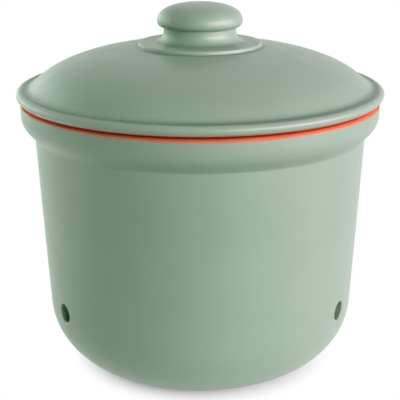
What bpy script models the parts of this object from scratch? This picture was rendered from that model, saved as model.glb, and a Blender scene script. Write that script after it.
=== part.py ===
"""A storage crock in glazed earthenware, with vents low in its wall and a loose domed lid.

Lengths are in metres, +Z is up, the origin is the middle of the underside and the front is towards -Y.
Both pieces are turned shapes. The crock has a thick collar round its mouth and stands on a flat foot ring.
The lid rests by a flat seat on the crock's rim. A skirt under it drops into the mouth and keeps it centred,
and its knob is hollow from below, as a cast knob is.
"""

import math

import bmesh
import bpy
from mathutils import Matrix, Vector

# Crock: outer shape
BODY_RADIUS = 0.1091
COLLAR_START_HEIGHT = 0.1582
WALL_TAPER = math.radians(3.04)
BASE_CORNER_RADIUS = 0.0457
FOOT_RING_INNER_RADIUS = 0.044
FOOT_RECESS_DEPTH = 0.0015
FOOT_EDGE_RADIUS = 0.0007

# Crock: collar and rim
COLLAR_OVERHANG = 0.0086
COLLAR_UNDERSIDE_SLOPE = math.radians(47)
COLLAR_ROUNDING = 0.013
COLLAR_CREASE_RADIUS = 0.002
COLLAR_HEIGHT = 0.0221
RIM_OUTER_EDGE_RADIUS = 0.0016
MOUTH_EDGE_RADIUS = 0.0025

# Crock: thickness of the clay
WALL_THICKNESS = 0.009
FLOOR_THICKNESS = 0.010

# Crock: vents
VENT_COUNT = 3
VENT_DIAMETER = 0.0125
VENT_HEIGHT = 0.048

# Lid: fit on the crock
SEAT_GAP = 0.0003
SKIRT_PLAY = 0.0015
LID_OVERHANG = 0.0020

# Lid: edge, dome and skirt
BEAD_RADIUS = 0.0049
BEAD_LIFT = 0.0006
BEAD_TOP_ANGLE = math.radians(110)
SEAT_WIDTH = 0.014
DOME_SETBACK = 0.007
DOME_RISE = 0.0365
VALLEY_SETBACK = 0.0027
VALLEY_RADIUS = 0.0015
LID_THICKNESS = 0.008
SKIRT_THICKNESS = 0.007
SKIRT_DEPTH = 0.011
SKIRT_EDGE_RADIUS = 0.0025
SKIRT_INNER_FILLET = 0.004

# Lid: disc and knob
DISC_RADIUS = 0.0404
DISC_RISE = 0.0031
DISC_EDGE_RADIUS = 0.0012
NECK_RADIUS = 0.0237
NECK_HEIGHT = 0.009
NECK_FLARE_RADIUS = 0.0045
KNOB_RADIUS = 0.0278
KNOB_UNDERSIDE_HEIGHT = 0.0037
KNOB_CROWN_HEIGHT = 0.0118
KNOB_SQUARENESS = 2.4
KNOB_WALL = 0.008
KNOB_BORE_EDGE_RADIUS = 0.004

# Finish: linear RGB colours and a roughness
GLAZE_COLOUR = (0.283, 0.392, 0.305)
LID_GLAZE_COLOUR = (0.290, 0.398, 0.312)
GLAZE_ROUGHNESS = 0.42

# Fineness of the faceted shapes
TURNING_STEPS = 60
CHORD_ERROR = 0.00012
DOME_POINTS = 9
CROWN_POINTS = 8
VENT_SIDES = 32
WELD_DISTANCE = 0.00001
FILLET_SHARE_OF_SIDE = 0.98

# Sizes that follow from the ones above
RIM_HEIGHT = COLLAR_START_HEIGHT + COLLAR_HEIGHT
COLLAR_RADIUS = BODY_RADIUS + COLLAR_OVERHANG
MOUTH_RADIUS = BODY_RADIUS - WALL_THICKNESS
LID_RADIUS = COLLAR_RADIUS + LID_OVERHANG
LID_SEAT_HEIGHT = RIM_HEIGHT + SEAT_GAP
SKIRT_RADIUS = MOUTH_RADIUS - SKIRT_PLAY
SKIRT_INNER_RADIUS = SKIRT_RADIUS - SKIRT_THICKNESS
DOME_RADIUS = LID_RADIUS - DOME_SETBACK
KNOB_BORE_RADIUS = NECK_RADIUS - KNOB_WALL
VENT_CUTTER_LENGTH = 4 * WALL_THICKNESS


def clear_scene():
    """Removes every object, so that the scene holds the crock alone."""
    for thing in list(bpy.data.objects):
        bpy.data.objects.remove(thing, do_unlink=True)


def new_collection(name):
    """A collection with this name, linked to the scene."""
    collection = bpy.data.collections.new(name)
    bpy.context.scene.collection.children.link(collection)
    return collection


def ceramic_material(name, colour, roughness):
    """A fired clay or glaze: its colour is linear RGB."""
    material = bpy.data.materials.new(name)
    material.use_nodes = True
    shader = material.node_tree.nodes["Principled BSDF"]
    shader.inputs["Base Color"].default_value = (*colour, 1.0)
    shader.inputs["Roughness"].default_value = roughness
    shader.inputs["Metallic"].default_value = 0.0
    material.diffuse_color = (*colour, 1.0)
    return material


def fillet_reaches(spots, radii):
    """How far each corner's arc reaches along its two sides, kept within the sides that it shares."""
    reaches = [0.0] * len(spots)
    for i in range(1, len(spots) - 1):
        half = (spots[i - 1] - spots[i]).angle(spots[i + 1] - spots[i]) / 2
        reaches[i] = radii[i] / math.tan(half)
    for i in range(len(spots) - 1):
        side = FILLET_SHARE_OF_SIDE * (spots[i + 1] - spots[i]).length
        wanted = reaches[i] + reaches[i + 1]
        if wanted > side:
            reaches[i] *= side / wanted
            reaches[i + 1] *= side / wanted
    return reaches


def arc_steps(radius, turn):
    """How many straight steps an arc takes so that each stays within the chord error."""
    widest_step = 2 * math.acos(1 - CHORD_ERROR / radius) if radius > CHORD_ERROR else math.pi
    return max(1, math.ceil(abs(turn) / widest_step))


def fillet_arc(before, corner, after, reach):
    """Points of the arc that rounds a corner and touches both sides at this reach from it."""
    first = (before - corner).normalized()
    second = (after - corner).normalized()
    half = first.angle(second) / 2
    radius = reach * math.tan(half)
    centre = corner + (first + second).normalized() * (radius / math.sin(half))
    start = corner + first * reach - centre
    end = corner + second * reach - centre
    turn = math.copysign(math.pi - 2 * half, start.cross(end))
    steps = arc_steps(radius, turn)
    return [centre + Matrix.Rotation(turn * i / steps, 2) @ start for i in range(steps + 1)]


def rounded(corners):
    """An outline's points, from corners given as (radius, height, fillet radius)."""
    spots = [Vector(corner[:2]) for corner in corners]
    reaches = fillet_reaches(spots, [corner[2] for corner in corners])
    outline = [spots[0]]
    for i in range(1, len(spots) - 1):
        if reaches[i]:
            outline += fillet_arc(spots[i - 1], spots[i], spots[i + 1], reaches[i])
        else:
            outline.append(spots[i])
    outline.append(spots[-1])
    return outline


def sharp(points):
    """Corners without a fillet, from (radius, height) points."""
    return [(radius, height, 0.0) for radius, height in points]


def turned(name, outline, collection, material):
    """A round piece: its outline, turned about Z by a Screw modifier."""
    mesh = bpy.data.meshes.new(name)
    points = [(radius, 0.0, height) for radius, height in outline]
    mesh.from_pydata(points, [(i, i + 1) for i in range(len(points) - 1)], [])
    mesh.materials.append(material)
    piece = bpy.data.objects.new(name, mesh)
    collection.objects.link(piece)
    screw = piece.modifiers.new("turning", "SCREW")
    screw.axis = "Z"
    screw.angle = math.tau
    screw.steps = TURNING_STEPS
    screw.render_steps = TURNING_STEPS
    screw.use_merge_vertices = True
    screw.merge_threshold = WELD_DISTANCE
    screw.use_smooth_shade = True
    return piece


def wall_radius(height):
    """The radius of the tapering wall's outer face at a height."""
    return BODY_RADIUS - (COLLAR_START_HEIGHT - height) * math.tan(WALL_TAPER)


def crock_outline():
    """From the middle of the inside floor, up to the rim, down the outer face and in under the foot."""
    inner_corner_radius = BASE_CORNER_RADIUS - WALL_THICKNESS
    collar_edge_height = COLLAR_START_HEIGHT + COLLAR_OVERHANG * math.tan(COLLAR_UNDERSIDE_SLOPE)
    return rounded([
        (0.0, FLOOR_THICKNESS, 0.0),
        (wall_radius(FLOOR_THICKNESS) - WALL_THICKNESS, FLOOR_THICKNESS, inner_corner_radius),
        (MOUTH_RADIUS, COLLAR_START_HEIGHT, 0.0),
        (MOUTH_RADIUS, RIM_HEIGHT, MOUTH_EDGE_RADIUS),
        (COLLAR_RADIUS, RIM_HEIGHT, RIM_OUTER_EDGE_RADIUS),
        (COLLAR_RADIUS, collar_edge_height, COLLAR_ROUNDING),
        (BODY_RADIUS, COLLAR_START_HEIGHT, COLLAR_CREASE_RADIUS),
        (wall_radius(0.0), 0.0, BASE_CORNER_RADIUS),
        (FOOT_RING_INNER_RADIUS, 0.0, FOOT_EDGE_RADIUS),
        (FOOT_RING_INNER_RADIUS - FOOT_RECESS_DEPTH, FOOT_RECESS_DEPTH, FOOT_EDGE_RADIUS),
        (0.0, FOOT_RECESS_DEPTH, 0.0),
    ])


def dome_height(radius, depth=0.0):
    """The height above the seat of the dome's elliptical face, or of one this depth inside it."""
    share = radius / (DOME_RADIUS - depth)
    return (DOME_RISE - depth) * math.sqrt(max(0.0, 1.0 - share * share))


def dome_points(first_radius, last_radius, depth=0.0):
    """Points along the dome between two radii, at even steps of the ellipse's own angle."""
    across = DOME_RADIUS - depth
    first_angle = math.asin(min(1.0, first_radius / across))
    last_angle = math.asin(min(1.0, last_radius / across))
    step = (last_angle - first_angle) / (DOME_POINTS - 1)
    radii = [across * math.sin(first_angle + step * i) for i in range(DOME_POINTS)]
    return [(radius, dome_height(radius, depth)) for radius in radii]


def crown_points(widest_height):
    """The knob's top, a flattened quarter of a superellipse, from its middle to its widest point."""
    points = []
    for i in range(CROWN_POINTS):
        angle = math.pi / 2 * (1 - i / (CROWN_POINTS - 1))
        across = max(0.0, math.cos(angle)) ** (2 / KNOB_SQUARENESS) if i else 0.0
        up = math.sin(angle) ** (2 / KNOB_SQUARENESS)
        points.append((KNOB_RADIUS * across, widest_height + KNOB_CROWN_HEIGHT * up))
    return points


def knob_underside_points(widest_height):
    """The quarter ellipse from the knob's widest point in to the top of its neck."""
    points = []
    steps = arc_steps(KNOB_RADIUS - NECK_RADIUS, math.pi / 2)
    for i in range(1, steps + 1):
        angle = math.pi / 2 * i / steps
        radius = NECK_RADIUS + (KNOB_RADIUS - NECK_RADIUS) * math.cos(angle)
        points.append((radius, widest_height - KNOB_UNDERSIDE_HEIGHT * math.sin(angle)))
    return points


def bead_points():
    """The rounded edge of the lid, from its top round to its lowest point."""
    centre_radius = LID_RADIUS - BEAD_RADIUS
    centre_height = BEAD_LIFT + BEAD_RADIUS
    turn = BEAD_TOP_ANGLE + math.pi / 2
    steps = arc_steps(BEAD_RADIUS, turn)
    angles = [BEAD_TOP_ANGLE - turn * i / steps for i in range(steps + 1)]
    return [
        (centre_radius + BEAD_RADIUS * math.cos(angle), centre_height + BEAD_RADIUS * math.sin(angle))
        for angle in angles
    ]


def bore_end_points(top_height):
    """The round end of the hollow in the knob, up from its side to its middle."""
    points = []
    steps = arc_steps(KNOB_BORE_RADIUS, math.pi / 2)
    for i in range(steps + 1):
        angle = math.pi / 2 * i / steps
        height = top_height - KNOB_BORE_RADIUS * (1 - math.sin(angle))
        points.append((KNOB_BORE_RADIUS * math.cos(angle) if i < steps else 0.0, height))
    return points


def lid_outline():
    """From the middle of the knob down the outer face to the edge, then in under the lid and up the bore.

    Heights are from the seat, which is the plane where the lid meets the rim.
    """
    disc_top = dome_height(DISC_RADIUS) + DISC_RISE
    widest_height = disc_top + NECK_HEIGHT + KNOB_UNDERSIDE_HEIGHT
    knob_top = widest_height + KNOB_CROWN_HEIGHT
    disc_foot_radius = DISC_RADIUS + DISC_EDGE_RADIUS
    valley_radius = DOME_RADIUS - VALLEY_SETBACK
    outer_dome = dome_points(disc_foot_radius, valley_radius)
    inner_dome = dome_points(SKIRT_INNER_RADIUS, KNOB_BORE_RADIUS, LID_THICKNESS)
    return rounded(
        sharp(crown_points(widest_height) + knob_underside_points(widest_height))
        + [(NECK_RADIUS, disc_top, NECK_FLARE_RADIUS), (DISC_RADIUS, disc_top, DISC_EDGE_RADIUS)]
        + sharp(outer_dome[:-1])
        + [(*outer_dome[-1], VALLEY_RADIUS)]
        + sharp(bead_points())
        + sharp([(SKIRT_RADIUS + SEAT_WIDTH, 0.0), (SKIRT_RADIUS, 0.0)])
        + [(SKIRT_RADIUS, -SKIRT_DEPTH, SKIRT_EDGE_RADIUS)]
        + [(SKIRT_INNER_RADIUS, -SKIRT_DEPTH, SKIRT_EDGE_RADIUS)]
        + [(*inner_dome[0], SKIRT_INNER_FILLET)]
        + sharp(inner_dome[1:-1])
        + [(*inner_dome[-1], KNOB_BORE_EDGE_RADIUS)]
        + sharp(bore_end_points(knob_top - KNOB_WALL))
    )


def vent_cutter(index, collection):
    """A cylinder through the wall, on a radial axis, where one vent goes."""
    azimuth = math.pi + math.tau * index / VENT_COUNT
    middle = wall_radius(VENT_HEIGHT) - WALL_THICKNESS / 2
    name = f"vent_cutter_{index + 1}"
    mesh = bpy.data.meshes.new(name)
    shape = bmesh.new()
    bmesh.ops.create_cone(
        shape,
        cap_ends=True,
        segments=VENT_SIDES,
        radius1=VENT_DIAMETER / 2,
        radius2=VENT_DIAMETER / 2,
        depth=VENT_CUTTER_LENGTH,
    )
    shape.to_mesh(mesh)
    shape.free()
    cutter = bpy.data.objects.new(name, mesh)
    collection.objects.link(cutter)
    cutter.location = (middle * math.sin(azimuth), -middle * math.cos(azimuth), VENT_HEIGHT)
    cutter.rotation_euler = (math.pi / 2, 0.0, azimuth)
    cutter.hide_render = True
    cutter.display_type = "WIRE"
    return cutter


def cut(piece, cutter):
    """Takes the cutter's space out of the piece."""
    boolean = piece.modifiers.new(cutter.name, "BOOLEAN")
    boolean.operation = "DIFFERENCE"
    boolean.solver = "EXACT"
    boolean.object = cutter


def main():
    """Builds the crock and its lid in one collection, and the vents' cutters in another."""
    clear_scene()
    pieces = new_collection("storage_crock")
    cutters = new_collection("cutters")
    glaze = ceramic_material("sage_glaze", GLAZE_COLOUR, GLAZE_ROUGHNESS)
    lid_glaze = ceramic_material("sage_glaze_lid", LID_GLAZE_COLOUR, GLAZE_ROUGHNESS)

    stand = bpy.data.objects.new("crock_place", None)
    pieces.objects.link(stand)

    crock = turned("crock", crock_outline(), pieces, glaze)
    crock.parent = stand
    for index in range(VENT_COUNT):
        cut(crock, vent_cutter(index, cutters))

    lid = turned("lid", lid_outline(), pieces, lid_glaze)
    lid.parent = stand
    lid.location = (0.0, 0.0, LID_SEAT_HEIGHT)


if __name__ == "__main__":
    main()
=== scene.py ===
"""The looks of a storage crock in glazed earthenware, with vents low in its wall and a loose domed lid.

Lengths are in metres, +Z is up, the front is towards -Y and the origin is the middle of the foot. Each piece
is a surface turned about Z and worked out as whole arrays, rings along its outline by columns round it. The
orange clay is bare inside, on the rim, under the lid and under the foot. The sage glaze lies on the rest as a
thin coat with an edge that wanders a little. The mesh steps there, and an attribute tells the material where.
"""

import logging
import math
from abc import ABC, abstractmethod
from dataclasses import dataclass, field
from enum import Enum
from functools import cached_property

import bpy
import numpy as np
from mathutils import Euler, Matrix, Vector


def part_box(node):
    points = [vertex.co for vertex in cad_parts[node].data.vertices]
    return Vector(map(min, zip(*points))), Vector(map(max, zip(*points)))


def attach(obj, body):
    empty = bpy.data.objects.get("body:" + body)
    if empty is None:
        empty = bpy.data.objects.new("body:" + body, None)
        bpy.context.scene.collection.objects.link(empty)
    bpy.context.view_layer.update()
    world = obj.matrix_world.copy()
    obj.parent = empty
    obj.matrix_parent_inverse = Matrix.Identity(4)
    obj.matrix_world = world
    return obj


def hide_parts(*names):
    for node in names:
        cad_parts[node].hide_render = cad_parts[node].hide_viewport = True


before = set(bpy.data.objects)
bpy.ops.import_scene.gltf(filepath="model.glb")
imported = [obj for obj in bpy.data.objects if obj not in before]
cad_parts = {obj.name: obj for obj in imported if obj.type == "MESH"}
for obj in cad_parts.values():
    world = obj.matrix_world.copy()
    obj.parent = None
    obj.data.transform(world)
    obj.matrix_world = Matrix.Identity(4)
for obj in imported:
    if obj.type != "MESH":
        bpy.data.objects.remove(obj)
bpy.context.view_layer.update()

log = logging.getLogger("storage_crock")

MILLIMETRE = 0.001
# How gently the distance between rings changes along an outline, as a bell curve's standard deviation.
RING_EASING = 0.0008
# The values that a Noise Texture node mostly keeps to.
NOISE_RANGE = (0.3, 0.7)
# How far the lid's seat lies above the crock's rim.
SEAT_GAP = 0.0003
# The dark green of pooled glaze, used for specks and pits and as painted shade in upward creases.
DARK_GLAZE_AND_SHADE = (0.095, 0.190, 0.110)
DARK_CLAY = (0.420, 0.080, 0.034)

Array = np.ndarray
Socket = bpy.types.NodeSocket
Pair = tuple[float, float]
Triple = tuple[float, float, float]
Colour = Triple


class Attribute(Enum):
    """What each vertex tells the material."""

    GLAZE = "glaze_mm"
    EDGE = "edge"


@dataclass(frozen=True)
class Corner:
    """A corner of a turned outline, with the radius of the fillet that rounds it."""

    radius: float
    height: float
    fillet: float = 0.0


def sharp(points: Array) -> list[Corner]:
    """Corners without a fillet, from rows of (radius, height)."""
    return [Corner(radius, height) for radius, height in points]


def arc(centre: Pair, reach: Pair | Array, angles: Array, power: float = 1.0) -> Array:
    """Part of an ellipse, or of a superellipse: centre + reach (cos^power a, sin^power a) for each angle a.

    Args:
        centre: The middle as (radius, height).
        reach: The half width and half height, for all angles or one row for each.
        angles: The angles above level.
        power: 1 for an ellipse, and less for a squarer curve.

    Returns:
        Rows of (radius, height).
    """
    turns = np.column_stack([np.cos(angles), np.sin(angles)])
    if power != 1.0:
        turns = np.clip(turns, 0.0, 1.0) ** power
    return np.array(centre) + np.array(reach) * turns


def rounded(corners: list[Corner], arc_points: int = 40) -> Array:
    """Rows of (radius, height) through corners, each filleted corner replaced by its arc.

    A fillet of radius f at a corner whose sides open by the angle t touches them f / tan(t / 2) from it, and
    the fillet's centre lies f / sin(t / 2) from the corner on the line that halves the angle.
    """
    spots = np.array([(corner.radius, corner.height) for corner in corners])
    runs = [spots[:1]]
    for before, spot, after, corner in zip(spots, spots[1:], spots[2:], corners[1:]):
        if not corner.fillet:
            runs.append(spot[None])
            continue
        first = (before - spot) / np.linalg.norm(before - spot)
        second = (after - spot) / np.linalg.norm(after - spot)
        half = math.acos(float(np.clip(first @ second, -1.0, 1.0))) / 2
        middle = first + second
        centre = spot + middle / np.linalg.norm(middle) * corner.fillet / math.sin(half)
        start = spot + first * corner.fillet / math.tan(half) - centre
        turn = math.copysign(math.pi - 2 * half, second[0] * first[1] - second[1] * first[0])
        angles = math.atan2(start[1], start[0]) + turn * np.linspace(0.0, 1.0, arc_points)
        runs.append(arc(centre, (corner.fillet, corner.fillet), angles))
    runs.append(spots[-1:])
    return np.concatenate(runs)


def smeared(values: Array, reach: float, ends: str = "even") -> Array:
    """Values along a line, averaged with a bell curve.

    Args:
        values: One value for each even step.
        reach: The bell's standard deviation, in steps.
        ends: How the values go on beyond the ends: mirrored, or with "odd" mirrored and changed in sign, as a
            radius is across the axis.
    """
    pad = int(4 * reach) + 1
    bell = np.exp(-0.5 * (np.arange(-pad, pad + 1) / reach) ** 2)
    return np.convolve(np.pad(values, pad, "reflect", reflect_type=ends), bell / bell.sum(), mode="valid")


def smooth_step(value: Array, low: float, high: float) -> Array:
    """0 below low, 1 above high and 3 t^2 - 2 t^3 between them."""
    share = np.clip((value - low) / (high - low), 0.0, 1.0)
    return share * share * (3.0 - 2.0 * share)


def wavering(angle: Array, waves: tuple[int, ...], fall: float, seed: int) -> Array:
    """A sum of sines of an angle, one for each wave, at random phases and with heights 1 / wave^fall."""
    phases = np.random.default_rng(seed).uniform(0.0, math.tau, len(waves))
    return sum(np.sin(wave * angle + phase) / wave**fall for wave, phase in zip(waves, phases))


def placed(out: Array, height: Array, azimuth: Array | float, across: Array | float = 0.0) -> Array:
    """Points (x, y, z), out from the axis along an azimuth and across it. Azimuth 0 is the front."""
    sine, cosine = np.sin(azimuth), np.cos(azimuth)
    return np.stack([out * sine + across * cosine, across * sine - out * cosine, height], axis=-1)


class Outline:
    """A turned outline as a fine, smooth curve that can be read at any distance along it.

    The points are spread evenly, and a bell curve softens every corner, as a coat of glaze does.
    """

    def __init__(
        self, points: Array, step: float = 0.0001, softness: float = 0.00025, pooling: float = 0.0014
    ) -> None:
        """Spreads and softens the points.

        Args:
            points: Rows of (radius, height), from a point on the axis to another.
            step: The distance between the fine points.
            softness: The bell curve's standard deviation.
            pooling: How far a crease holds glaze to each side of it, as a standard deviation.
        """
        lengths = np.linalg.norm(np.diff(points, axis=0), axis=1)
        along = np.concatenate([[0.0], np.cumsum(lengths)])
        even = np.linspace(0.0, along[-1], int(along[-1] / step) + 1)
        radius = np.interp(even, along, points[:, 0])
        height = np.interp(even, along, points[:, 1])
        self.radius = np.abs(smeared(radius, softness / step, "odd"))
        self.height = smeared(height, softness / step)
        self.radius[[0, -1]] = 0.0
        self.step = even[1]
        self.along = even
        heading = np.unwrap(np.arctan2(np.gradient(self.height), np.gradient(self.radius)))
        self.normal = np.column_stack([-np.sin(heading), np.cos(heading)])
        self.bend = -np.gradient(heading) / self.step
        self.crease = smeared(np.maximum(-self.bend, 0.0), pooling / self.step)

    def where(self, radius: float, height: float) -> float:
        """The distance along the outline of its point nearest to this one."""
        away = np.hypot(self.radius - radius, self.height - height)
        return float(self.along[away.argmin()])

    def read(self, values: Array, along: Array) -> Array:
        """One of the outline's fine arrays, read at distances along it."""
        return np.interp(along, self.along, values)

    def stations(self, spacing: float, turn: float) -> Array:
        """Where rings go: one for each spacing along the outline, or for each turn where it bends more.

        The density of rings is the larger of 1 / spacing and bend / turn, smeared so that it changes gently.
        Rings lie at whole steps of its running total.
        """
        density = np.maximum(1.0 / spacing, np.abs(self.bend) / turn)
        density = smeared(density, RING_EASING / self.step)
        total = np.concatenate([[0.0], np.cumsum(density[1:] * self.step)])
        return np.interp(np.linspace(0.0, total[-1], math.ceil(total[-1]) + 1), total, self.along)


@dataclass(frozen=True)
class GlazeEdge:
    """A line round a piece where the glaze stops, at a distance along the outline.

    The glaze lies before it or after it. The line wanders by a sum of sines round the piece, and sways by one
    wave that is furthest along the outline at its azimuth.
    """

    line: float
    glaze_after: bool
    seed: int
    wander: float = 0.00012
    waves: tuple[int, ...] = (2, 5, 9, 14, 23, 37)
    sway: float = 0.0
    sway_azimuth: float = 0.0

    def drift(self, azimuth: Array) -> Array:
        """How far the line has wandered along the outline at each azimuth."""
        wander = self.wander * math.sqrt(2.0) * wavering(azimuth, self.waves, 0.5, self.seed)
        return wander + self.sway * np.cos(azimuth - self.sway_azimuth)


@dataclass(frozen=True)
class Coat:
    """The glaze as a raised coat at its edge.

    Bare clay lies lower than the glaze by the coat's thickness at the edge and comes back to the solid's face
    over the fade. The glaze rises over the lip's width, and swells a little behind it. Places counted in lips
    give where that swell is, where the close rings lie and how far other rings keep away.
    """

    thickness: float = 0.0003
    lip: float = 0.00022
    swell: float = 0.00006
    swell_place: float = 1.6
    keep: float = 0.0007
    fade: float = 0.0022
    close_rings: tuple[float, ...] = (-3.0, -1.8, -1.0, -0.5, -0.2, 0.0, 0.2, 0.5, 1.0, 1.8, 2.6, 4.0)
    clear: float = 5.0

    def lift(self, distance: Array) -> Array:
        """How far the face is lifted along its normal, mostly below zero, at distances into the glaze."""
        bare = 1.0 - smooth_step(distance, -self.lip / 2, self.lip / 2)
        near = 1.0 - smooth_step(-distance, self.keep, self.keep + self.fade)
        roll = np.exp(-((distance / self.lip - self.swell_place) ** 2))
        return self.swell * roll - self.thickness * bare * near


def new_object(name: str, data: bpy.types.ID) -> bpy.types.Object:
    """A new object in the scene, at the origin."""
    thing = bpy.data.objects.new(name, data)
    bpy.context.scene.collection.objects.link(thing)
    return thing


@dataclass
class Surface:
    """Vertices, faces and vertex values of a piece while it is put together."""

    points: list[Array] = field(default_factory=list)
    faces: list[Array] = field(default_factory=list)
    values: dict[Attribute, list[Array]] = field(default_factory=lambda: {kind: [] for kind in Attribute})
    count: int = 0

    def add_points(self, points: Array, glaze: Array, edge: Array | float) -> Array:
        """Adds an array of points.

        Args:
            points: The points, whose last axis is (x, y, z).
            glaze: Each one's distance into the glaze.
            edge: Each one's edge value.

        Returns:
            The numbers of the new vertices, in the array's own shape.
        """
        shape = points.shape[:-1]
        self.points.append(points.reshape(-1, 3))
        for kind, values in ((Attribute.GLAZE, glaze / MILLIMETRE), (Attribute.EDGE, edge)):
            self.values[kind].append(np.broadcast_to(values, shape).reshape(-1))
        numbers = self.count + np.arange(math.prod(shape)).reshape(shape)
        self.count += numbers.size
        return numbers

    def add_quads(self, rings: Array, kept: Array | None = None) -> None:
        """Adds the quads between closed rings of vertex numbers, facing out.

        Args:
            rings: The vertex numbers, one row for each ring.
            kept: Which quads are wanted, one row for each pair of rings, or None for all.
        """
        after = np.roll(rings, -1, axis=1)
        quads = np.stack([rings[:-1], rings[1:], after[1:], after[:-1]], axis=-1)
        self.faces.append(quads.reshape(-1, 4) if kept is None else quads[kept])

    def add_fan(self, ring: Array, tip: int, tip_first: bool) -> None:
        """Closes a ring with triangles to a tip, which lies before or after the ring along the outline."""
        after = np.roll(ring, -1)
        tips = np.full_like(ring, tip)
        order = [tips, ring, after] if tip_first else [ring, tips, after]
        self.faces.append(np.stack(order, axis=-1))

    def finish(self, name: str) -> bpy.types.Object:
        """Makes the object, with smooth faces and the two vertex attributes.

        Points that no face uses, such as those of the grid inside a vent's block, are left out.
        """
        used = np.unique(np.concatenate([faces.reshape(-1) for faces in self.faces]))
        number = np.zeros(self.count, int)
        number[used] = np.arange(len(used))
        rows = [face for faces in self.faces for face in number[faces].tolist()]
        mesh = bpy.data.meshes.new(name)
        mesh.from_pydata(np.concatenate(self.points)[used].tolist(), [], rows)
        for kind, values in self.values.items():
            layer = mesh.attributes.new(kind.value, "FLOAT", "POINT")
            layer.data.foreach_set("value", np.concatenate(values)[used].astype(np.float32))
        mesh.shade_smooth()
        mesh.update()
        return new_object(name, mesh)


@dataclass
class TurnedPiece(ABC):
    """What the crock and the lid share: how an outline becomes a surface.

    The fields after the coat say how far rings shift along with a glaze edge, how fired clay is slightly
    unround, and how glaze runs thin or pools, with painted shade that darkens upward creases most towards one
    azimuth. The thin and the pool reach turn a bend, in radians for each metre, into an edge value.
    """

    name: str = ""
    columns: int = 360
    ring_spacing: float = 0.0032
    ring_turn: float = math.radians(7.0)
    coat: Coat = field(default_factory=Coat)
    edge_shift_reach: float = 0.003
    warp: float = 0.00012
    warp_seed: int = 11
    warp_lobes: tuple[int, ...] = (2, 3, 5)
    warp_twist: float = 9.0
    warp_full_radius: float = 0.05
    warp_least_radius: float = 0.01
    thin_reach: float = 0.002
    pool_reach: float = 0.0048
    steep_pool: float = 0.15
    pool_levelness: int = 4
    # Painted shade: upward creases are darkest towards this azimuth, the front, and lighter elsewhere.
    shade_azimuth: float = math.radians(15.0)
    shade_fall: Pair = (0.1, 0.75)
    least_pool: float = 0.25

    @abstractmethod
    def corners(self) -> list[Corner]:
        """The outline's corners, from a point on the axis to another."""

    @abstractmethod
    def glaze_edges(self) -> list[GlazeEdge]:
        """The lines where the glaze stops."""

    @cached_property
    def outline(self) -> Outline:
        """The smooth outline through the corners."""
        return Outline(rounded(self.corners()))

    def edge_value(self, along: Array, azimuth: Array) -> Array:
        """1 on a tight outside edge, where glaze runs thin, to -1 in a crease that faces up, where it pools.

        The darkening in a crease is partly pooled glaze and partly painted shade, and is strongest towards
        one azimuth, the front, where the lid's valley lies in shade.
        """
        outline = self.outline
        thin = self.thin_reach * np.maximum(outline.bend, 0.0)
        level = np.clip(outline.normal[:, 1], 0.0, 1.0) ** self.pool_levelness
        pooled_and_shade = self.pool_reach * outline.crease * (self.steep_pool + (1.0 - self.steep_pool) * level)
        # Painted shade: creases darken most on the front side, where the lid's valley lies in shade.
        shaded_side = smooth_step(np.cos(azimuth - self.shade_azimuth), *self.shade_fall)
        share = self.least_pool + (1.0 - self.least_pool) * shaded_side
        return np.clip(outline.read(thin, along) - share * outline.read(pooled_and_shade, along), -1.0, 1.0)

    def glaze_distance(self, along: Array, azimuth: Array) -> Array:
        """The distance into the glaze of points at these distances along the outline and azimuths."""
        nearest = np.full(along.shape, np.inf)
        for edge in self.glaze_edges():
            past = along - edge.line - edge.drift(azimuth)
            nearest = np.minimum(nearest, past if edge.glaze_after else -past)
        return nearest

    def rings(self) -> Array:
        """Ring places along the outline, with a close set of them at each glaze edge."""
        stations = self.outline.stations(self.ring_spacing, self.ring_turn)[1:-1]
        close_set = self.coat.lip * np.array(self.coat.close_rings)
        for edge in self.glaze_edges():
            far = np.abs(stations - edge.line) > self.coat.clear * self.coat.lip
            stations = np.sort(np.concatenate([stations[far], edge.line + close_set]))
        return stations

    def warped(self, points: Array) -> Array:
        """Points moved out or in by the slight unroundness of fired clay, in lobes that turn with height."""
        angle = np.arctan2(points[..., 0], -points[..., 1]) + self.warp_twist * points[..., 2]
        radius = np.hypot(points[..., 0], points[..., 1])
        moved = self.warp * wavering(angle, self.warp_lobes, 1.0, self.warp_seed)
        moved = moved * smooth_step(radius, 0.0, self.warp_full_radius)
        share = 1.0 + moved / np.maximum(radius, self.warp_least_radius)
        return points * np.stack([share, share, np.ones_like(share)], axis=-1)

    def grid(self, stations: Array) -> tuple[Array, Array, Array]:
        """The turned surface as a grid, one row for each ring and one column for each azimuth.

        A ring near a glaze edge shifts along the outline with that edge, by the edge's drift times a bell
        curve of their distance. The coat lifts points along the outline's normal. The columns run from the
        back round by the left side.

        Returns:
            Points, distances into the glaze, and edge values.
        """
        outline = self.outline
        azimuth = np.arange(self.columns)[None, :] * math.tau / self.columns - math.pi
        along = np.repeat(stations[:, None], self.columns, axis=1)
        for edge in self.glaze_edges():
            near = np.exp(-(((stations[:, None] - edge.line) / self.edge_shift_reach) ** 2))
            along += edge.drift(azimuth) * near
        glaze = self.glaze_distance(along, azimuth)
        lift = self.coat.lift(glaze)
        radius = outline.read(outline.radius, along) + lift * outline.read(outline.normal[:, 0], along)
        height = outline.read(outline.height, along) + lift * outline.read(outline.normal[:, 1], along)
        return placed(radius, height, azimuth), glaze, self.edge_value(along, azimuth)

    def set_in(self, surface: Surface, points: Array, rings: Array) -> Array | None:
        """Sets other parts into the grid, which has these points and vertex numbers.

        Returns:
            Which of the grid's quads stay, or None for all.
        """
        return None

    def build(self) -> bpy.types.Object:
        """The piece's mesh: its turned grid with what is set into it, closed on the axis at both ends."""
        points, glaze, edge = self.grid(self.rings())
        surface = Surface()
        rings = surface.add_points(self.warped(points), glaze, edge)
        surface.add_quads(rings, self.set_in(surface, points, rings))
        for end in (0, -1):
            tip = np.array([0.0, 0.0, self.outline.height[end]])
            number = surface.add_points(tip, glaze[end, 0], 0.0)
            surface.add_fan(rings[end], int(number), tip_first=end == 0)
        return surface.finish(self.name)


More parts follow.
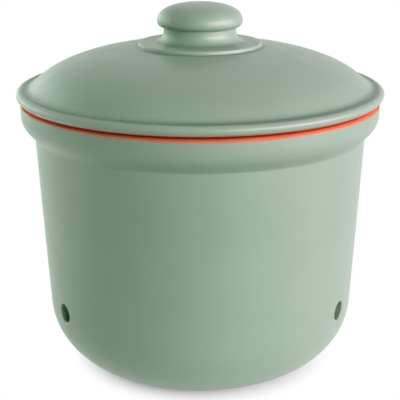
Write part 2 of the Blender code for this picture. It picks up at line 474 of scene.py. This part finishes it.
@dataclass(frozen=True)
class WallFace:
    """A face of the crock's wall: radii and places along the outline, sorted by height."""

    heights: Array
    radii: Array
    along: Array

    def radius(self, height: Array) -> Array:
        """The face's radius at these heights."""
        return np.interp(height, self.heights, self.radii)

    def station(self, height: Array) -> Array:
        """The distance along the outline at these heights."""
        return np.interp(height, self.heights, self.along)


@dataclass(frozen=True)
class Vent:
    """A round hole through the wall on a radial axis, with soft mouths.

    Round the hole a square block of the wall's grid makes way for rings that turn from the square into a
    circle, roll over the mouth, run through the wall and open out again into the square of the inside grid.
    Glaze covers the outside and reaches in towards the bare inside, where its line wanders by two waves.
    """

    azimuth: float
    height: float = 0.048
    radius: float = 0.00625
    mouth: float = 0.0009
    inner_mouth: float = 0.0012
    block: int = 20
    rings_to_mouth: int = 7
    mouth_rings: int = 6
    tube_rings: int = 6
    flare_power: float = 1.4
    full_glaze: float = 0.01
    full_bare: float = -0.004
    wide_waves: int = 3
    wide_wander: float = 0.0007
    fine_waves: int = 7
    fine_wander: float = 0.0004
    thin_mouth: float = 0.8

    def loop(self) -> tuple[Array, Array]:
        """The block's border once round, as (column, row) counted from its lower left corner."""
        run = np.arange(self.block)
        columns = np.concatenate([run, np.full(self.block, self.block), self.block - run, 0 * run])
        return columns, np.roll(columns, self.block)

    def angles(self) -> Array:
        """The angle on the circle for each border vertex, even steps from the lower left."""
        total = 4 * self.block
        return math.tau * np.arange(total) / total - 0.75 * math.pi

    def side(self, wall: WallFace, spots: Array, mouth: float, inwards: float) -> Array:
        """One side's rings, from the square border to a circle and on through its mouth's quarter round.

        A ring point that lies x across from the hole's axis and at height z is sqrt(R(z)^2 - x^2) out from
        the crock's axis, where R is the wall's radius, less or plus its depth in the mouth.

        Args:
            wall: The face of the wall.
            spots: The points of the square border.
            mouth: The radius of the mouth's quarter round.
            inwards: 1 where deeper into the mouth is further out from the crock's axis, or else -1.

        Returns:
            An array of rings by border vertices by (across, out, height).
        """
        across = spots[:, 0] * math.cos(self.azimuth) + spots[:, 1] * math.sin(self.azimuth)
        border = np.column_stack([across, spots[:, 2] - self.height])
        circle = arc((0.0, 0.0), (1.0, 1.0), self.angles())
        share = (np.arange(1, self.rings_to_mouth + 1) / self.rings_to_mouth)[:, None, None]
        share = 1.0 - (1.0 - share) ** self.flare_power
        flare = (1.0 - share) * border + share * (self.radius + mouth) * circle
        turn = math.pi / 2 * np.arange(1, self.mouth_rings + 1) / self.mouth_rings
        reach = self.radius + mouth * (1.0 - np.sin(turn))
        spread = np.concatenate([flare, reach[:, None, None] * circle])
        depth = np.concatenate([np.zeros(self.rings_to_mouth), mouth * (1.0 - np.cos(turn))])
        across = spread[..., 0]
        height = self.height + spread[..., 1]
        out = np.sqrt(wall.radius(height) ** 2 - across**2) + inwards * depth[:, None]
        return np.stack([across, out, height], axis=-1)

    def lining(self, walls: list[WallFace], borders: list[Array]) -> tuple[Array, Array, Array]:
        """All rings between the two borders.

        Args:
            walls: The wall's inner and outer face.
            borders: The points of the square border in each of them.

        Returns:
            Points, distances into the glaze, and edge values, from the outside in.
        """
        inside = self.side(walls[0], borders[0], self.inner_mouth, inwards=1.0)[::-1]
        outside = self.side(walls[1], borders[1], self.mouth, inwards=-1.0)
        share = (np.arange(1, self.tube_rings) / self.tube_rings)[:, None, None]
        tube = (1.0 - share) * outside[-1] + share * inside[0]
        across, out, height = np.moveaxis(np.concatenate([outside, tube, inside]), -1, 0)
        glaze = np.maximum(out - inside[0, :, 1], self.full_bare)
        glaze[: len(outside)] = self.full_glaze
        glaze[-len(inside) :] = np.minimum(glaze[-len(inside) :], 0.0)
        glaze += self.wide_wander * np.sin(self.wide_waves * self.angles() + self.azimuth)
        glaze += self.fine_wander * np.sin(self.fine_waves * self.angles())
        edge = np.zeros((len(out), 1))
        edge[self.rings_to_mouth - 1] = self.thin_mouth / 2
        edge[self.rings_to_mouth : len(outside)] = self.thin_mouth
        return placed(out, height, self.azimuth, across), glaze, edge


@dataclass
class Crock(TurnedPiece):
    """The pot: a round base, a tapering wall with vents and a thick collar at the mouth."""

    name: str = "crock_body"
    body_radius: float = 0.1091
    collar_start_height: float = 0.1582
    wall_taper: float = math.radians(3.04)
    base_corner_radius: float = 0.0457
    foot_ring_inner_radius: float = 0.044
    foot_recess_depth: float = 0.0015
    foot_edge_radius: float = 0.0007
    collar_overhang: float = 0.0086
    collar_underside_slope: float = math.radians(47.0)
    collar_rounding: float = 0.013
    collar_crease_radius: float = 0.002
    rim_height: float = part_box("crock")[1].z
    rim_outer_edge_radius: float = 0.0016
    mouth_edge_radius: float = 0.0025
    wall_thickness: float = 0.009
    floor_thickness: float = 0.010
    inside_rounding: float = 0.05
    vent_count: int = 3
    band_gap: float = 0.3
    bare_band: float = 0.0002
    bare_band_sway: float = 0.0004
    bare_band_widest: float = math.radians(45.0)
    glaze_foot_radius: float = 0.0640

    def wall_radius(self, height: float) -> float:
        """The radius of the tapering wall's outer face at a height."""
        return self.body_radius - (self.collar_start_height - height) * math.tan(self.wall_taper)

    def corners(self) -> list[Corner]:
        """From the middle of the inside floor, up to the rim, down the outer face and in under the foot."""
        collar_radius = self.body_radius + self.collar_overhang
        mouth_radius = self.body_radius - self.wall_thickness
        collar_edge = self.collar_start_height + self.collar_overhang * math.tan(self.collar_underside_slope)
        recess_radius = self.foot_ring_inner_radius - self.foot_recess_depth
        floor_radius = self.wall_radius(self.floor_thickness) - self.wall_thickness
        return [
            Corner(0.0, self.floor_thickness),
            Corner(floor_radius, self.floor_thickness, self.base_corner_radius - self.wall_thickness),
            Corner(mouth_radius, self.collar_start_height, self.inside_rounding),
            Corner(mouth_radius, self.rim_height, self.mouth_edge_radius),
            Corner(collar_radius, self.rim_height, self.rim_outer_edge_radius),
            Corner(collar_radius, collar_edge, self.collar_rounding),
            Corner(self.body_radius, self.collar_start_height, self.collar_crease_radius),
            Corner(self.wall_radius(0.0), 0.0, self.base_corner_radius),
            Corner(self.foot_ring_inner_radius, 0.0, self.foot_edge_radius),
            Corner(recess_radius, self.foot_recess_depth, self.foot_edge_radius),
            Corner(0.0, self.foot_recess_depth),
        ]

    def glaze_edges(self) -> list[GlazeEdge]:
        """The glaze starts on the rim's rounded outer edge and stops just short of the foot ring."""
        collar_radius = self.body_radius + self.collar_overhang
        rim_line = self.outline.where(collar_radius, self.rim_height - self.bare_band)
        foot_line = self.outline.where(self.glaze_foot_radius, 0.0)
        rim_sway = {"sway": self.bare_band_sway, "sway_azimuth": self.bare_band_widest}
        return [
            GlazeEdge(rim_line, glaze_after=True, seed=3, **rim_sway),
            GlazeEdge(foot_line, glaze_after=False, seed=4),
        ]

    def vents(self) -> list[Vent]:
        """Evenly spaced vents, the first of them at the back."""
        return [Vent(math.pi + math.tau * index / self.vent_count) for index in range(self.vent_count)]

    def wall_faces(self) -> list[WallFace]:
        """The wall's inner and outer face, from the foot to the collar's crease."""
        outline = self.outline
        outer = outline.along > outline.where(self.body_radius, self.rim_height)
        wall = (outline.radius > self.foot_ring_inner_radius) & (outline.height < self.collar_start_height)
        faces = []
        for face in (wall & ~outer, wall & outer):
            order = np.flatnonzero(face)[np.argsort(outline.height[face])]
            faces.append(WallFace(outline.height[order], outline.radius[order], outline.along[order]))
        return faces

    def band_heights(self) -> Array:
        """The heights of the rings that pass the vents, with quads about as high as they are wide."""
        vent = self.vents()[0]
        half = vent.block / 2 * math.tau * self.wall_radius(vent.height) / self.columns
        return np.linspace(vent.height - half, vent.height + half, vent.block + 1)

    def rings(self) -> Array:
        """Ring places, with those that pass the vents on each face of the wall put at the band's heights."""
        stations = super().rings()
        for face in self.wall_faces():
            fresh = np.sort(face.station(self.band_heights()))
            gap = self.band_gap * (fresh[1] - fresh[0])
            kept = stations[(stations < fresh[0] - gap) | (stations > fresh[-1] + gap)]
            stations = np.sort(np.concatenate([kept, fresh]))
        return stations

    def set_in(self, surface: Surface, points: Array, rings: Array) -> Array:
        """Sets the vents into the grid. Each takes the place of a block of quads on both faces of the wall.

        Returns:
            Which of the grid's quads stay.
        """
        kept = np.ones((len(rings) - 1, self.columns), bool)
        heights = self.band_heights()
        column = points[:, 0, 2]
        rim = int(np.argmax(column))
        inner_row = int(np.argmin(np.abs(column[:rim] - heights[0])))
        outer_row = rim + int(np.argmin(np.abs(column[rim:] - heights[-1])))
        walls = self.wall_faces()
        for vent in self.vents():
            first = round((vent.azimuth + math.pi) / math.tau * self.columns) - vent.block // 2
            columns, up = vent.loop()
            columns = (first + columns) % self.columns
            inner = (inner_row + up, columns)
            outer = (outer_row + vent.block - up, columns)
            taken = (first + np.arange(vent.block)) % self.columns
            for row in (inner_row, outer_row):
                kept[row : row + vent.block, taken] = False
            spots, glaze, edge = vent.lining(walls, [points[inner], points[outer]])
            numbers = surface.add_points(self.warped(spots), glaze, edge)
            loops = np.concatenate([rings[outer][None], numbers, rings[inner][None]])
            surface.add_quads(loops[:, ::-1])
        return kept


@dataclass
class Lid(TurnedPiece):
    """The domed lid: rounded edge, raised disc, hollow mushroom knob and a skirt that sits in the mouth."""

    name: str = "lid_body"
    ring_turn: float = math.radians(8.6)
    warp_seed: int = 23
    seat_height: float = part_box("crock")[1].z + SEAT_GAP
    lid_radius: float = 0.1203
    bead_width: float = 0.0046
    bead_lift: float = 0.0009
    bead_middle: float = 0.0050
    bead_top: float = 0.0081
    skirt_radius: float = 0.0986
    seat_width: float = 0.014
    dome_radius: float = 0.1134
    dome_rise: float = 0.0360
    dome_fullness: float = 2.2
    valley_place: float = 0.1130
    valley_height: float = 0.0073
    valley_rounding: float = 0.0062
    valley_start: float = 0.1082
    lid_thickness: float = 0.008
    skirt_thickness: float = 0.007
    skirt_depth: float = 0.011
    skirt_edge_radius: float = 0.0025
    skirt_inner_fillet: float = 0.004
    disc_radius: float = 0.0404
    disc_rise: float = 0.0027
    disc_fall: float = 0.0003
    disc_edge_radius: float = 0.0013
    neck_radius: float = 0.0237
    neck_height: float = 0.0094
    neck_flare_radius: float = 0.0066
    knob_radius: float = 0.0278
    knob_underside_height: float = 0.0037
    knob_crown_height: float = 0.0118
    knob_squareness: float = 2.4
    knob_wall: float = 0.008
    knob_bore_edge_radius: float = 0.004
    glaze_edge_angle: float = math.radians(-58.0)
    curve_points: int = 200

    def dome(self, first: float, last: float, depth: float = 0.0) -> Array:
        """The dome's face between two radii, or one that lies this depth inside it.

        The height above the seat is (rise - depth) sqrt(1 - (r / (dome radius - depth))^fullness).
        """
        across = self.dome_radius - depth
        radii = np.linspace(first, last, self.curve_points)
        share = np.sqrt(np.clip(1.0 - (radii / across) ** self.dome_fullness, 0.0, 1.0))
        return np.column_stack([radii, self.seat_height + (self.dome_rise - depth) * share])

    def crown(self, widest: float) -> Array:
        """The knob's top, a flattened quarter of a superellipse, from its middle to its widest height."""
        angles = np.linspace(math.pi / 2, 0.0, self.curve_points)
        reach = (self.knob_radius, self.knob_crown_height)
        return arc((0.0, widest), reach, angles, 2.0 / self.knob_squareness)

    def underside(self, widest: float) -> Array:
        """The quarter ellipse from the knob's widest height in to the top of its neck."""
        angles = np.linspace(0.0, -math.pi / 2, self.curve_points)[1:]
        reach = (self.knob_radius - self.neck_radius, self.knob_underside_height)
        return arc((self.neck_radius, widest), reach, angles)

    def bead(self, angles: Array) -> Array:
        """Points of the lid's rounded edge, at angles above its widest place.

        It is half an ellipse above its middle and half of a longer one below it.
        """
        up = np.where(angles > 0, self.bead_top - self.bead_middle, self.bead_middle - self.bead_lift)
        reach = np.column_stack([np.full_like(up, self.bead_width), up])
        return arc((self.lid_radius - self.bead_width, self.seat_height + self.bead_middle), reach, angles)

    def corners(self) -> list[Corner]:
        """From the middle of the knob down the outer face to the edge, then in under the lid to the bore."""
        seat = self.seat_height
        disc_top = self.dome(self.disc_radius, self.disc_radius)[0, 1] + self.disc_rise
        widest = disc_top + self.neck_height + self.knob_underside_height
        outer_dome = self.dome(self.disc_radius, self.valley_start)
        round_edge = self.bead(np.linspace(math.pi / 2, -math.pi / 2, self.curve_points))
        inner_radius = self.skirt_radius - self.skirt_thickness
        bore_radius = self.neck_radius - self.knob_wall
        inner_dome = self.dome(inner_radius, bore_radius, self.lid_thickness)
        clear = inner_dome[:, 0] < inner_radius - self.skirt_inner_fillet
        clear &= inner_dome[:, 0] > bore_radius + self.knob_bore_edge_radius
        skirt_foot = seat - self.skirt_depth
        bore_middle = widest + self.knob_crown_height - self.knob_wall - bore_radius
        bore_turn = np.linspace(0.0, math.pi / 2, self.curve_points)
        return [
            *sharp(self.crown(widest)),
            *sharp(self.underside(widest)),
            Corner(self.neck_radius, disc_top, self.neck_flare_radius),
            Corner(self.disc_radius, disc_top - self.disc_fall, self.disc_edge_radius),
            *sharp(outer_dome),
            Corner(self.valley_place, seat + self.valley_height, self.valley_rounding),
            *sharp(round_edge),
            Corner(self.skirt_radius + self.seat_width, seat),
            Corner(self.skirt_radius, seat),
            Corner(self.skirt_radius, skirt_foot, self.skirt_edge_radius),
            Corner(inner_radius, skirt_foot, self.skirt_edge_radius),
            Corner(*inner_dome[0], self.skirt_inner_fillet),
            *sharp(inner_dome[clear]),
            Corner(*inner_dome[-1], self.knob_bore_edge_radius),
            *sharp(arc((0.0, bore_middle), (bore_radius, bore_radius), bore_turn)),
        ]

    def glaze_edges(self) -> list[GlazeEdge]:
        """The glaze stops on the underside of the bead."""
        line = self.outline.where(*self.bead(np.array([self.glaze_edge_angle]))[0])
        return [GlazeEdge(line, glaze_after=False, seed=5)]


@dataclass(frozen=True)
class Tint:
    """A change of colour while a value runs over a range, and how much of the way to the colour it goes."""

    colour: Colour
    over: Pair
    share: float = 1.0


def opaque(colour: Colour) -> tuple[float, float, float, float]:
    """A colour with full alpha."""
    return (*colour, 1.0)


class Nodes:
    """A short way to add and join shader nodes in the tree of a material or a world.

    Its place is the point that is shaded, in object coordinates, or a direction in the sky.
    """

    def __init__(self, owner: bpy.types.Material | bpy.types.World, space: str) -> None:
        """Starts on an empty tree, with its place in one of the Texture Coordinate node's spaces."""
        owner.use_nodes = True
        self.tree = owner.node_tree
        self.tree.nodes.clear()
        self.place = self.add("ShaderNodeTexCoord").outputs[space]

    def add(
        self, kind: str, inputs: dict[str | int, object] | None = None, **settings: object
    ) -> bpy.types.Node:
        """A new node.

        Args:
            kind: The node's type.
            inputs: For each input's name or number, the socket that feeds it or the value that it takes.
            settings: The node's own properties.
        """
        node = self.tree.nodes.new(kind)
        for name, value in settings.items():
            setattr(node, name, value)
        for key, source in (inputs or {}).items():
            if isinstance(source, Socket):
                self.tree.links.new(source, node.inputs[key])
            else:
                node.inputs[key].default_value = source
        return node

    def math(self, operation: str, *inputs: object) -> Socket:
        """A Math node's result."""
        return self.add("ShaderNodeMath", dict(enumerate(inputs)), operation=operation).outputs[0]

    def vector(self, operation: str, *inputs: object) -> Socket:
        """A Vector Math node's result, which is a number for these three operations and else a vector."""
        outputs = self.add("ShaderNodeVectorMath", dict(enumerate(inputs)), operation=operation).outputs
        return outputs["Value" if operation in ("DOT_PRODUCT", "LENGTH", "DISTANCE") else "Vector"]

    def span(self, value: object, over: Pair, to: Pair = (0.0, 1.0), kind: str = "LINEAR") -> Socket:
        """The value carried from one range to another and kept inside it."""
        inputs = dict(enumerate((value, *over, *to)))
        return self.add("ShaderNodeMapRange", inputs, interpolation_type=kind).outputs[0]

    def smooth(self, value: object, low: float, high: float) -> Socket:
        """0 at low, 1 at high and a smooth step between them."""
        return self.span(value, (low, high), kind="SMOOTHSTEP")

    def mix(self, share: object, first: object, second: object) -> Socket:
        """Two colours mixed."""
        return self.add("ShaderNodeMix", {0: share, 6: first, 7: second}, data_type="RGBA").outputs[2]

    def mix_numbers(self, share: object, first: object, second: object) -> Socket:
        """Two numbers mixed."""
        return self.add("ShaderNodeMix", {0: share, 2: first, 3: second}, data_type="FLOAT").outputs[0]

    def tint(self, colour: object, tint: Tint, value: Socket) -> Socket:
        """A colour with a tint on it, as much as its value calls for."""
        return self.mix(self.span(value, tint.over, (0.0, tint.share)), colour, opaque(tint.colour))

    def noise(self, wavelength: float, detail: float = 2.0, place: Socket | None = None) -> Socket:
        """Noise with blotches about this many metres across, from 0 to 1 about a half."""
        inputs = {"Vector": place or self.place, "Scale": 1.0 / wavelength, "Detail": detail}
        return self.add("ShaderNodeTexNoise", inputs).outputs["Fac"]

    def sway(self, noise: Socket, middle: float, most: float) -> Socket:
        """A number that goes up to this far from its middle as a noise runs over its usual values."""
        return self.span(noise, NOISE_RANGE, (middle - most, middle + most))

    def rays(self, *kinds: str) -> Socket:
        """1 for these kinds of ray, and 0 for others."""
        path = self.add("ShaderNodeLightPath").outputs
        any_of_them = 0.0
        for kind in kinds:
            any_of_them = self.math("MAXIMUM", path[f"Is {kind} Ray"], any_of_them)
        return any_of_them

    def finish(self, kind: str, node: bpy.types.Node) -> None:
        """The tree's output node, fed by the node that makes its surface."""
        self.add(kind, {"Surface": node.outputs[0]})


@dataclass(frozen=True)
class SatinGlaze:
    """A satin sage green glaze: even, darker in upward creases from pooled glaze and painted shade, paler
    where it runs thin.
    """

    colour: Colour = (0.214, 0.352, 0.228)
    cloud: Tint = Tint((0.226, 0.366, 0.242), (0.35, 0.65))
    cloud_size: float = 0.030
    pooled_and_shade: Tint = Tint(DARK_GLAZE_AND_SHADE, (-0.1, -0.9), 0.90)
    thin: Tint = Tint((0.300, 0.425, 0.300), (0.12, 0.9), 0.40)
    speck: Tint = Tint(DARK_GLAZE_AND_SHADE, (0.66, 0.80), 0.10)
    speck_size: float = 0.0009
    roughness: float = 0.36
    roughness_sway: float = 0.03
    roughness_size: float = 0.012
    peel_size: float = 0.0016
    peel_depth: float = 0.000010
    pit: Tint = Tint(DARK_GLAZE_AND_SHADE, (0.0, 1.0), 0.7)
    pit_spacing: float = 0.0090
    pit_radius: float = 0.00016
    pit_depth: float = 0.000030

    def shade(self, nodes: Nodes, edge: Socket) -> tuple[Socket, Socket, Socket]:
        """The glaze's colour, its roughness and the height of its surface in metres."""
        colour = nodes.tint(opaque(self.colour), self.cloud, nodes.noise(self.cloud_size, detail=3.0))
        # Pooled glaze and painted shade: darker in upward creases, most towards the front.
        colour = nodes.tint(colour, self.pooled_and_shade, edge)
        colour = nodes.tint(colour, self.thin, edge)
        colour = nodes.tint(colour, self.speck, nodes.noise(self.speck_size, detail=1.0))
        roughness = nodes.sway(nodes.noise(self.roughness_size), self.roughness, self.roughness_sway)
        spots = {"Vector": nodes.place, "Scale": 1.0 / self.pit_spacing}
        away = nodes.add("ShaderNodeTexVoronoi", spots, feature="F1").outputs["Distance"]
        pit = nodes.span(away, (0.0, self.pit_radius / self.pit_spacing), (1.0, 0.0))
        colour = nodes.tint(colour, self.pit, pit)
        peel = nodes.math("MULTIPLY", nodes.noise(self.peel_size, detail=1.0), self.peel_depth)
        relief = nodes.math("SUBTRACT", peel, nodes.math("MULTIPLY", pit, self.pit_depth))
        return colour, roughness, relief


@dataclass(frozen=True)
class BareClay:
    """Unglazed orange red earthenware: matt and finely grained, with faint rings from the turning."""

    colour: Colour = (0.565, 0.128, 0.031)
    cloud: Tint = Tint((0.600, 0.154, 0.045), (0.32, 0.68))
    cloud_size: float = 0.018
    grain: Tint = Tint(DARK_CLAY, (0.56, 0.76), 0.45)
    grain_size: float = 0.0006
    grain_depth: float = 0.000035
    ring: Tint = Tint(DARK_CLAY, (0.55, 0.75), 0.18)
    ring_width: float = 0.0022
    ring_depth: float = 0.00003
    roughness: float = 0.86
    roughness_sway: float = 0.05

    def shade(self, nodes: Nodes) -> tuple[Socket, Socket, Socket]:
        """The clay's colour, its roughness and the height of its surface in metres.

        The turning rings are noise read at (radius, height), so they run round the piece.
        """
        colour = nodes.tint(opaque(self.colour), self.cloud, nodes.noise(self.cloud_size, detail=4.0))
        grain = nodes.noise(self.grain_size, detail=3.0)
        colour = nodes.tint(colour, self.grain, grain)
        radius = nodes.vector("LENGTH", nodes.vector("MULTIPLY", nodes.place, (1.0, 1.0, 0.0)))
        height = nodes.add("ShaderNodeSeparateXYZ", {0: nodes.place}).outputs[2]
        turned = nodes.add("ShaderNodeCombineXYZ", {0: radius, 2: height}).outputs[0]
        rings = nodes.noise(self.ring_width, place=turned)
        colour = nodes.tint(colour, self.ring, rings)
        relief = nodes.math("MULTIPLY", grain, self.grain_depth)
        relief = nodes.math("ADD", relief, nodes.math("MULTIPLY", rings, self.ring_depth))
        return colour, nodes.sway(grain, self.roughness, self.roughness_sway), relief


@dataclass(frozen=True)
class FiredSurface:
    """The finish of a piece: glaze and bare clay in one material, parted where the glaze stops.

    The glaze runs thin towards its edge, so that the clay shows through it, and the clay is painted a
    deeper red further away from the glaze, as painted shade in the gap under the lid and inside the crock.
    Distances are in millimetres.
    """

    glaze: SatinGlaze = field(default_factory=SatinGlaze)
    clay: BareClay = field(default_factory=BareClay)
    blur: float = 0.05
    thinning: float = 2.2
    # Painted shade: clay more than 1 mm from the glaze turns deeper red, darkening the gap under the lid.
    painted_shade_clay: Tint = Tint((0.380, 0.058, 0.022), (-1.0, -3.0), 0.75)

    def material(self, name: str) -> bpy.types.Material:
        """The material, which reads object coordinates and the two vertex attributes."""
        material = bpy.data.materials.new(name)
        nodes = Nodes(material, "Object")
        distance, edge = (
            nodes.add("ShaderNodeAttribute", attribute_name=kind.value).outputs["Fac"] for kind in Attribute
        )
        glaze_colour, glaze_roughness, glaze_relief = self.glaze.shade(nodes, edge)
        clay_colour, clay_roughness, clay_relief = self.clay.shade(nodes)
        # Painted shade: deeper red clay away from the glaze edge, as in the shadowed gap under the lid.
        clay_colour = nodes.tint(clay_colour, self.painted_shade_clay, distance)
        glazed = nodes.span(distance, (-self.blur, self.blur))
        covered = nodes.span(distance, (-self.blur, self.thinning))
        relief = nodes.mix_numbers(glazed, clay_relief, glaze_relief)
        bump = nodes.add("ShaderNodeBump", {"Strength": 1.0, "Distance": 1.0, "Height": relief})
        shader = nodes.add("ShaderNodeBsdfPrincipled", {
            "Base Color": nodes.mix(covered, clay_colour, glaze_colour),
            "Roughness": nodes.mix_numbers(covered, clay_roughness, glaze_roughness),
            "Normal": bump.outputs["Normal"],
        })
        nodes.finish("ShaderNodeOutputMaterial", shader)
        return material


@dataclass(frozen=True)
class SoftLight:
    """A soft patch of light in the sky.

    Its strength falls smoothly from its middle to its rim, by the cosine of the angle between them.
    """

    azimuth: float
    elevation: float
    spread: float
    strength: float
    tint: Colour = (1.0, 1.0, 1.0)

    def direction(self) -> Array:
        """A unit vector towards the light. Azimuth 0 is the front, and 90 degrees the right."""
        elevation = math.radians(self.elevation)
        return placed(math.cos(elevation), math.sin(elevation), math.radians(self.azimuth))

    def glow(self, nodes: Nodes) -> Socket:
        """The light's colour at a direction in the sky."""
        facing = nodes.vector("DOT_PRODUCT", nodes.place, self.direction())
        share = nodes.smooth(facing, math.cos(math.radians(self.spread)), 1.0)
        full = [self.strength * part for part in self.tint]
        return nodes.add("ShaderNodeVectorMath", {0: full, "Scale": share}, operation="SCALE").outputs[0]


@dataclass(frozen=True)
class TableGlow:
    """A bright part of the table, which throws light up at the piece.

    Its strength falls smoothly to nothing between two distances from its middle.
    """

    middle: Triple
    near: float
    far: float
    strength: float

    def strength_at(self, nodes: Nodes) -> Socket:
        """The glow's strength at a place on the table."""
        away = nodes.vector("DISTANCE", nodes.place, self.middle)
        return nodes.math("MULTIPLY", nodes.smooth(away, self.far, self.near), self.strength)


@dataclass(frozen=True)
class Studio:
    """The white floor, the sky of soft lights and the camera."""

    ambient: Colour = (0.01, 0.01, 0.01)
    lights: tuple[SoftLight, ...] = (
        SoftLight(azimuth=27.0, elevation=14.0, spread=19.0, strength=8.2, tint=(0.97, 0.97, 0.96)),
        SoftLight(azimuth=51.0, elevation=9.0, spread=28.0, strength=7.3, tint=(1.12, 0.88, 1.09)),
        SoftLight(azimuth=78.0, elevation=8.0, spread=28.0, strength=6.8, tint=(1.20, 0.70, 1.10)),
        SoftLight(azimuth=-123.0, elevation=4.0, spread=50.0, strength=3.3, tint=(0.94, 1.04, 0.98)),
        SoftLight(azimuth=180.0, elevation=5.0, spread=30.0, strength=1.0),
        SoftLight(azimuth=0.0, elevation=88.0, spread=50.0, strength=0.15),
    )
    table_glows: tuple[TableGlow, ...] = (
        TableGlow(middle=(-0.15, 0.10, 0.0), near=0.20, far=0.50, strength=0.50),
        TableGlow(middle=(-0.55, 0.28, 0.0), near=0.10, far=0.45, strength=11.0),
        TableGlow(middle=(0.26, -0.40, 0.0), near=0.10, far=0.30, strength=0.4),
    )
    floor_radius: float = 3.0
    floor_sides: int = 96
    floor_colour: Colour = (0.80, 0.80, 0.80)
    shadow_full: float = 0.060
    shadow_end: float = 0.092
    camera_place: Triple = (-0.0144, -0.7199, 0.3325)
    camera_angles: Triple = (72.73, 0.12, -1.168)
    focal_length: float = 99.6
    sensor_width: float = 36.0

    def sky(self) -> None:
        """The sky: soft lights over a dim surround, and plain white to the camera.

        A reflection shows white as well, wherever no light is brighter.
        """
        world = bpy.data.worlds.new("studio_sky")
        bpy.context.scene.world = world
        nodes = Nodes(world, "Generated")
        lit = self.ambient
        for light in self.lights:
            lit = nodes.vector("ADD", light.glow(nodes), lit)
        white = (1.0, 1.0, 1.0)
        colour = nodes.mix(nodes.rays("Glossy"), lit, nodes.vector("MAXIMUM", lit, white))
        colour = nodes.mix(nodes.rays("Camera", "Transmission"), colour, opaque(white))
        nodes.finish("ShaderNodeOutputWorld", nodes.add("ShaderNodeBackground", {"Color": colour}))

    def floor_material(self) -> bpy.types.Material:
        """White that keeps the shadow close to the foot, and is plain white further out to what looks at it.

        The plain white comes in between two radii for camera, reflected and transmitted rays. The rays that
        light the piece meet the table's glows there instead.
        """
        material = bpy.data.materials.new("white_floor")
        nodes = Nodes(material, "Object")
        seen = nodes.rays("Camera", "Glossy", "Transmission")
        lit = 0.0
        for table_glow in self.table_glows:
            lit = nodes.math("ADD", table_glow.strength_at(nodes), lit)
        lit = nodes.math("MULTIPLY", lit, nodes.math("SUBTRACT", 1.0, seen))
        paper = nodes.add("ShaderNodeBsdfDiffuse", {"Color": opaque(self.floor_colour)})
        plain = nodes.add("ShaderNodeEmission", {"Strength": nodes.math("ADD", lit, seen)})
        share = nodes.smooth(nodes.vector("LENGTH", nodes.place), self.shadow_full, self.shadow_end)
        mixed = nodes.add("ShaderNodeMixShader", {0: share, 1: paper.outputs[0], 2: plain.outputs[0]})
        nodes.finish("ShaderNodeOutputMaterial", mixed)
        return material

    def floor(self) -> None:
        """A round white floor at height 0."""
        angles = np.linspace(0.0, math.tau, self.floor_sides, endpoint=False)
        points = self.floor_radius * np.column_stack([np.cos(angles), np.sin(angles), 0.0 * angles])
        mesh = bpy.data.meshes.new("floor")
        mesh.from_pydata(points.tolist(), [], [list(range(len(points)))])
        mesh.materials.append(self.floor_material())
        floor = new_object("floor", mesh)

    def camera(self) -> None:
        """The camera at the photograph's viewing angle."""
        data = bpy.data.cameras.new("camera")
        data.sensor_width = self.sensor_width
        data.lens = self.focal_length
        camera = new_object("camera", data)
        camera.location = Vector(self.camera_place)
        camera.rotation_euler = Euler(tuple(math.radians(angle) for angle in self.camera_angles))
        bpy.context.scene.camera = camera

    def build(self) -> None:
        """Makes the studio and sets the plain view transform."""
        self.sky()
        self.floor()
        self.camera()
        bpy.context.scene.view_settings.view_transform = "Standard"


def dress(piece: bpy.types.Object, node: str, body: str, material: bpy.types.Material) -> None:
    """Gives a piece its material, sets it in for its node and lets it ride on its body."""
    piece.data.materials.append(material)
    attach(piece, body)
    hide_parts(node)
    log.info("%s: %d vertices, %d faces", piece.name, len(piece.data.vertices), len(piece.data.polygons))


def main() -> None:
    """Builds the crock, the lid and the studio."""
    logging.basicConfig(level=logging.INFO, format="%(name)s: %(message)s")
    finish = FiredSurface()
    dress(Crock().build(), "crock", "crock", finish.material("crock_finish"))
    dress(Lid().build(), "lid", "lid", finish.material("lid_finish"))
    Studio().build()


if __name__ == "__main__":
    main()
